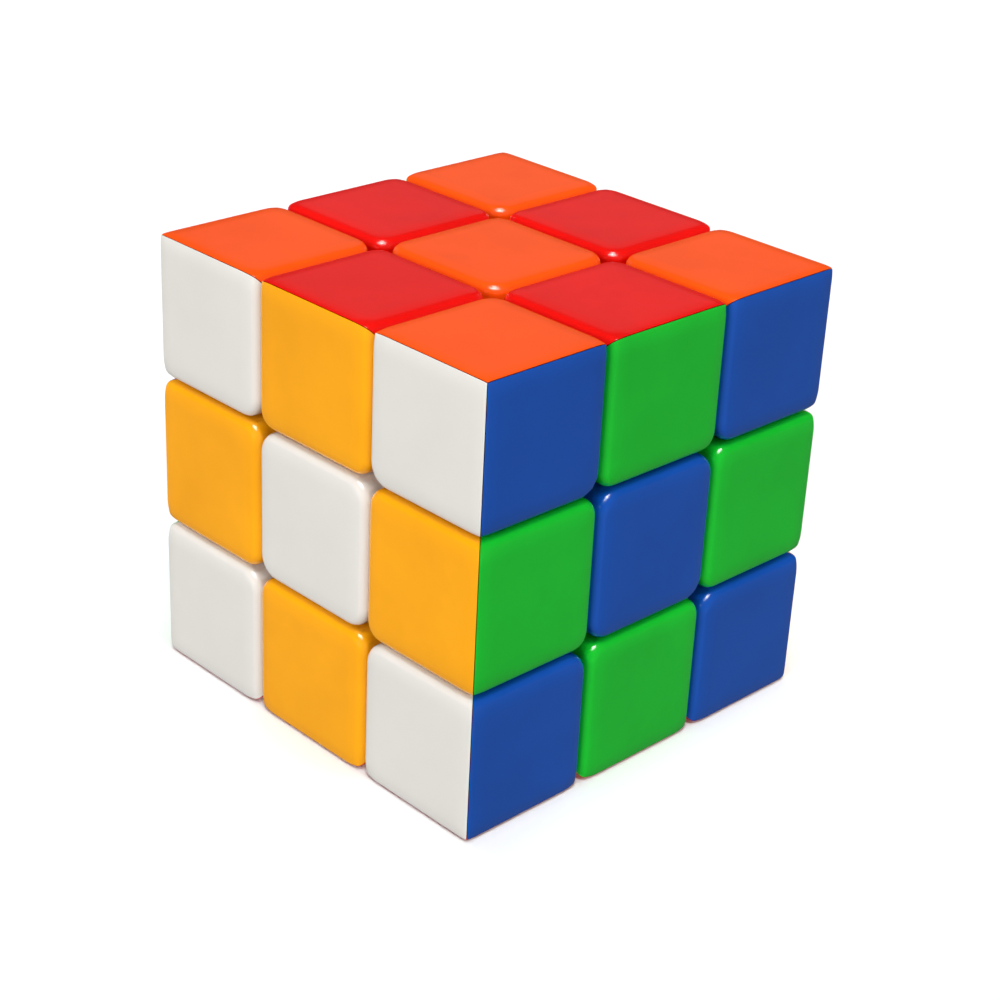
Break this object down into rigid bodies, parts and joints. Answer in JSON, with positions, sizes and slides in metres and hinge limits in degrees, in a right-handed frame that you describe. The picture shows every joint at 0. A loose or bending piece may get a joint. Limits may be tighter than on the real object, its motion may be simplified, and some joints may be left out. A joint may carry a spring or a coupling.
{
  "type": "twisty puzzle cube",
  "caption": "Three-layer twisty puzzle cube with coloured plastic shells on every piece; each outer layer turns about its face on a sprung inner core.",
  "frame": {"origin": "centre of the cube, where the six turning axes meet", "axes": "+Z out of the upper face, +X out of the right face, -Y out of the front face"},
  "size_m": [0.057, 0.057, 0.057],
  "materials": {
    "core_plastic": "satin moulded plastic",
    "steel": "plated spring and screw steel",
    "orange_plastic": "satin gloss moulded plastic, through-coloured",
    "red_plastic": "satin gloss moulded plastic, through-coloured",
    "white_plastic": "satin gloss moulded plastic, through-coloured",
    "yellow_plastic": "satin gloss moulded plastic, through-coloured",
    "blue_plastic": "satin gloss moulded plastic, through-coloured",
    "green_plastic": "satin gloss moulded plastic, through-coloured"
  },
  "bodies": {
    "core_assembly": {"core": "core_plastic", "up_tension_screw": "steel", "up_tension_spring": "steel", "down_tension_screw": "steel", "down_tension_spring": "steel", "front_tension_screw": "steel", "front_tension_spring": "steel", "back_tension_screw": "steel", "back_tension_spring": "steel", "right_tension_screw": "steel", "right_tension_spring": "steel", "left_tension_screw": "steel", "left_tension_spring": "steel"},
    "up_centre": {"up_centre_body": "orange_plastic", "up_centre_cap": "orange_plastic"},
    "down_centre": {"down_centre_body": "red_plastic", "down_centre_cap": "red_plastic"},
    "front_centre": {"front_centre_body": "white_plastic", "front_centre_cap": "white_plastic"},
    "back_centre": {"back_centre_body": "yellow_plastic", "back_centre_cap": "yellow_plastic"},
    "right_centre": {"right_centre_body": "blue_plastic", "right_centre_cap": "blue_plastic"},
    "left_centre": {"left_centre_body": "green_plastic", "left_centre_cap": "green_plastic"},
    "up_front_edge": {"up_front_edge_up_shell": "red_plastic", "up_front_edge_front_shell": "yellow_plastic"},
    "up_right_edge": {"up_right_edge_up_shell": "red_plastic", "up_right_edge_right_shell": "green_plastic"},
    "up_back_edge": {"up_back_edge_up_shell": "red_plastic", "up_back_edge_back_shell": "white_plastic"},
    "up_left_edge": {"up_left_edge_up_shell": "red_plastic", "up_left_edge_left_shell": "blue_plastic"},
    "down_front_edge": {"down_front_edge_down_shell": "orange_plastic", "down_front_edge_front_shell": "yellow_plastic"},
    "down_right_edge": {"down_right_edge_down_shell": "orange_plastic", "down_right_edge_right_shell": "green_plastic"},
    "down_back_edge": {"down_back_edge_down_shell": "orange_plastic", "down_back_edge_back_shell": "white_plastic"},
    "down_left_edge": {"down_left_edge_down_shell": "orange_plastic", "down_left_edge_left_shell": "blue_plastic"},
    "front_right_edge": {"front_right_edge_front_shell": "yellow_plastic", "front_right_edge_right_shell": "green_plastic"},
    "front_left_edge": {"front_left_edge_front_shell": "yellow_plastic", "front_left_edge_left_shell": "blue_plastic"},
    "back_right_edge": {"back_right_edge_back_shell": "white_plastic", "back_right_edge_right_shell": "green_plastic"},
    "back_left_edge": {"back_left_edge_back_shell": "white_plastic", "back_left_edge_left_shell": "blue_plastic"},
    "up_front_right_corner": {"up_front_right_corner": "orange_plastic"},
    "up_front_left_corner": {"up_front_left_corner": "orange_plastic"},
    "up_back_right_corner": {"up_back_right_corner": "orange_plastic"},
    "up_back_left_corner": {"up_back_left_corner": "orange_plastic"},
    "down_front_right_corner": {"down_front_right_corner": "red_plastic"},
    "down_front_left_corner": {"down_front_left_corner": "red_plastic"},
    "down_back_right_corner": {"down_back_right_corner": "red_plastic"},
    "down_back_left_corner": {"down_back_left_corner": "red_plastic"}
  },
  "joints": [
    {"name": "up_turn", "type": "hinge", "parent": "core_assembly", "child": "up_centre", "pos_m": [0, 0, 0], "axis": [0, 0, 1], "continuous": true},
    {"name": "down_turn", "type": "hinge", "parent": "core_assembly", "child": "down_centre", "pos_m": [0, 0, 0], "axis": [0, 0, -1], "continuous": true},
    {"name": "front_turn", "type": "hinge", "parent": "core_assembly", "child": "front_centre", "pos_m": [0, 0, 0], "axis": [0, -1, 0], "continuous": true},
    {"name": "back_turn", "type": "hinge", "parent": "core_assembly", "child": "back_centre", "pos_m": [0, 0, 0], "axis": [0, 1, 0], "continuous": true},
    {"name": "right_turn", "type": "hinge", "parent": "core_assembly", "child": "right_centre", "pos_m": [0, 0, 0], "axis": [1, 0, 0], "continuous": true},
    {"name": "left_turn", "type": "hinge", "parent": "core_assembly", "child": "left_centre", "pos_m": [0, 0, 0], "axis": [-1, 0, 0], "continuous": true},
    {"name": "up_front_edge_turn", "type": "hinge", "parent": "up_centre", "child": "up_front_edge", "pos_m": [0, 0, 0], "axis": [0, -1, 0], "continuous": true},
    {"name": "up_right_edge_turn", "type": "hinge", "parent": "right_centre", "child": "up_right_edge", "pos_m": [0, 0, 0], "axis": [0, 0, 1], "continuous": true},
    {"name": "up_back_edge_turn", "type": "hinge", "parent": "up_centre", "child": "up_back_edge", "pos_m": [0, 0, 0], "axis": [0, 1, 0], "continuous": true},
    {"name": "up_left_edge_turn", "type": "hinge", "parent": "left_centre", "child": "up_left_edge", "pos_m": [0, 0, 0], "axis": [0, 0, 1], "continuous": true},
    {"name": "down_front_edge_turn", "type": "hinge", "parent": "down_centre", "child": "down_front_edge", "pos_m": [0, 0, 0], "axis": [0, -1, 0], "continuous": true},
    {"name": "down_right_edge_turn", "type": "hinge", "parent": "right_centre", "child": "down_right_edge", "pos_m": [0, 0, 0], "axis": [0, 0, -1], "continuous": true},
    {"name": "down_back_edge_turn", "type": "hinge", "parent": "down_centre", "child": "down_back_edge", "pos_m": [0, 0, 0], "axis": [0, 1, 0], "continuous": true},
    {"name": "down_left_edge_turn", "type": "hinge", "parent": "left_centre", "child": "down_left_edge", "pos_m": [0, 0, 0], "axis": [0, 0, -1], "continuous": true},
    {"name": "front_right_edge_turn", "type": "hinge", "parent": "front_centre", "child": "front_right_edge", "pos_m": [0, 0, 0], "axis": [1, 0, 0], "continuous": true},
    {"name": "front_left_edge_turn", "type": "hinge", "parent": "front_centre", "child": "front_left_edge", "pos_m": [0, 0, 0], "axis": [-1, 0, 0], "continuous": true},
    {"name": "back_right_edge_turn", "type": "hinge", "parent": "back_centre", "child": "back_right_edge", "pos_m": [0, 0, 0], "axis": [1, 0, 0], "continuous": true},
    {"name": "back_left_edge_turn", "type": "hinge", "parent": "back_centre", "child": "back_left_edge", "pos_m": [0, 0, 0], "axis": [-1, 0, 0], "continuous": true},
    {"name": "up_front_right_corner_turn", "type": "hinge", "parent": "up_right_edge", "child": "up_front_right_corner", "pos_m": [0, 0, 0], "axis": [0, -1, 0], "continuous": true},
    {"name": "up_front_left_corner_turn", "type": "hinge", "parent": "up_left_edge", "child": "up_front_left_corner", "pos_m": [0, 0, 0], "axis": [0, -1, 0], "continuous": true},
    {"name": "up_back_right_corner_turn", "type": "hinge", "parent": "up_right_edge", "child": "up_back_right_corner", "pos_m": [0, 0, 0], "axis": [0, 1, 0], "continuous": true},
    {"name": "up_back_left_corner_turn", "type": "hinge", "parent": "up_left_edge", "child": "up_back_left_corner", "pos_m": [0, 0, 0], "axis": [0, 1, 0], "continuous": true},
    {"name": "down_front_right_corner_turn", "type": "hinge", "parent": "down_right_edge", "child": "down_front_right_corner", "pos_m": [0, 0, 0], "axis": [0, -1, 0], "continuous": true},
    {"name": "down_front_left_corner_turn", "type": "hinge", "parent": "down_left_edge", "child": "down_front_left_corner", "pos_m": [0, 0, 0], "axis": [0, -1, 0], "continuous": true},
    {"name": "down_back_right_corner_turn", "type": "hinge", "parent": "down_right_edge", "child": "down_back_right_corner", "pos_m": [0, 0, 0], "axis": [0, 1, 0], "continuous": true},
    {"name": "down_back_left_corner_turn", "type": "hinge", "parent": "down_left_edge", "child": "down_back_left_corner", "pos_m": [0, 0, 0], "axis": [0, 1, 0], "continuous": true}
  ],
  "couplings": [
    {"joint": "up_front_edge_turn", "follows": "front_turn", "ratio": 1},
    {"joint": "up_right_edge_turn", "follows": "up_turn", "ratio": 1},
    {"joint": "up_back_edge_turn", "follows": "back_turn", "ratio": 1},
    {"joint": "up_left_edge_turn", "follows": "up_turn", "ratio": 1},
    {"joint": "down_front_edge_turn", "follows": "front_turn", "ratio": 1},
    {"joint": "down_right_edge_turn", "follows": "down_turn", "ratio": 1},
    {"joint": "down_back_edge_turn", "follows": "back_turn", "ratio": 1},
    {"joint": "down_left_edge_turn", "follows": "down_turn", "ratio": 1},
    {"joint": "front_right_edge_turn", "follows": "right_turn", "ratio": 1},
    {"joint": "front_left_edge_turn", "follows": "left_turn", "ratio": 1},
    {"joint": "back_right_edge_turn", "follows": "right_turn", "ratio": 1},
    {"joint": "back_left_edge_turn", "follows": "left_turn", "ratio": 1},
    {"joint": "up_front_right_corner_turn", "follows": "front_turn", "ratio": 1},
    {"joint": "up_front_left_corner_turn", "follows": "front_turn", "ratio": 1},
    {"joint": "up_back_right_corner_turn", "follows": "back_turn", "ratio": 1},
    {"joint": "up_back_left_corner_turn", "follows": "back_turn", "ratio": 1},
    {"joint": "down_front_right_corner_turn", "follows": "front_turn", "ratio": 1},
    {"joint": "down_front_left_corner_turn", "follows": "front_turn", "ratio": 1},
    {"joint": "down_back_right_corner_turn", "follows": "back_turn", "ratio": 1},
    {"joint": "down_back_left_corner_turn", "follows": "back_turn", "ratio": 1}
  ]
}
